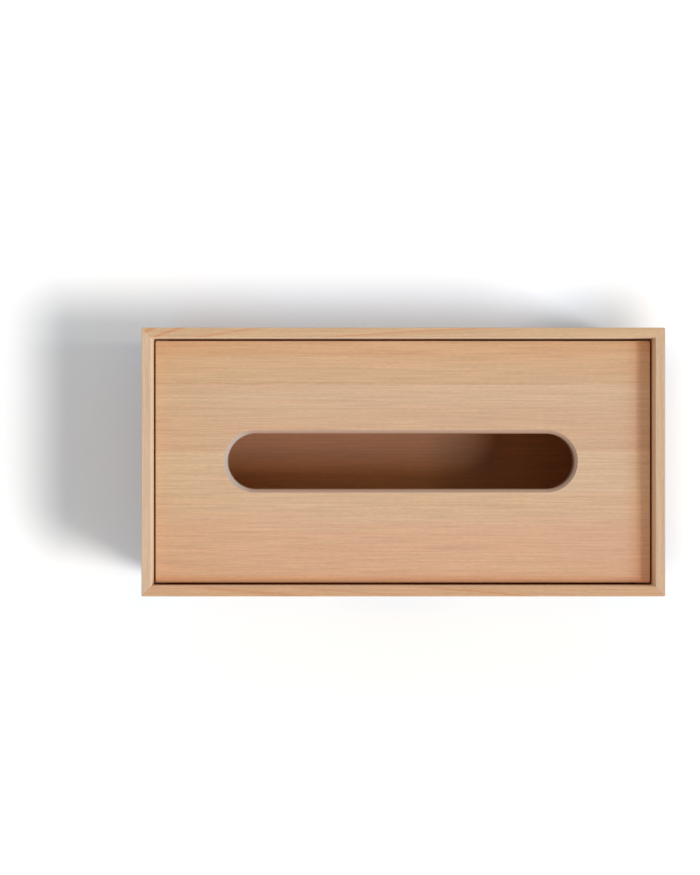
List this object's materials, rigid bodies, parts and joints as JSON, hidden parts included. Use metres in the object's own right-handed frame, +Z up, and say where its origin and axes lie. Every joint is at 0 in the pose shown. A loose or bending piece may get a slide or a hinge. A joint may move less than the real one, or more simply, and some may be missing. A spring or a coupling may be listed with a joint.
{
  "type": "tissue box with drawer",
  "caption": "Mitred wooden box that holds a tissue pack under a loose, recessed lid with a long slot, over a shallow drawer that slides out at the front.",
  "frame": {"origin": "middle of the underside, on the surface that the box stands on", "axes": "+X to the right along the long side, +Y to the back, away from the drawer front, +Z up"},
  "size_m": [0.265, 0.136, 0.11],
  "materials": {
    "case_wood": "planed and sanded pale softwood, unfinished, fine straight grain",
    "lid_wood": "planed and sanded pale softwood, edge-glued staves, fine straight grain",
    "panel_wood": "planed pale softwood",
    "drawer_wood": "planed and sanded pale softwood",
    "spline_wood": "thin sawn key"
  },
  "bodies": {
    "case": {"back_wall": "case_wood", "right_wall": "case_wood", "left_wall": "case_wood", "front_wall": "case_wood", "spline_front_left": "spline_wood", "spline_front_right": "spline_wood", "spline_back_left": "spline_wood", "spline_back_right": "spline_wood", "bottom_panel": "panel_wood", "floor_stave_1": "panel_wood", "floor_stave_2": "panel_wood", "floor_stave_3": "panel_wood", "floor_stave_4": "panel_wood", "lid_ledge_left": "case_wood", "lid_ledge_right": "case_wood", "drawer_stop_left": "case_wood", "drawer_stop_right": "case_wood"},
    "lid": {"lid_stave_1": "lid_wood", "lid_stave_2": "lid_wood", "lid_stave_3": "lid_wood", "lid_stave_4": "lid_wood"},
    "drawer": {"drawer_front": "case_wood", "drawer_side_left": "drawer_wood", "drawer_side_right": "drawer_wood", "drawer_back": "drawer_wood", "drawer_bottom": "drawer_wood"}
  },
  "joints": [
    {"name": "drawer_slide", "type": "slide", "parent": "case", "child": "drawer", "axis": [0, -1, 0], "range_m": [0, 0.095]},
    {"name": "lid_lift", "type": "slide", "parent": "case", "child": "lid", "axis": [0, 0, 1], "range_m": [0, 0.06]}
  ]
}
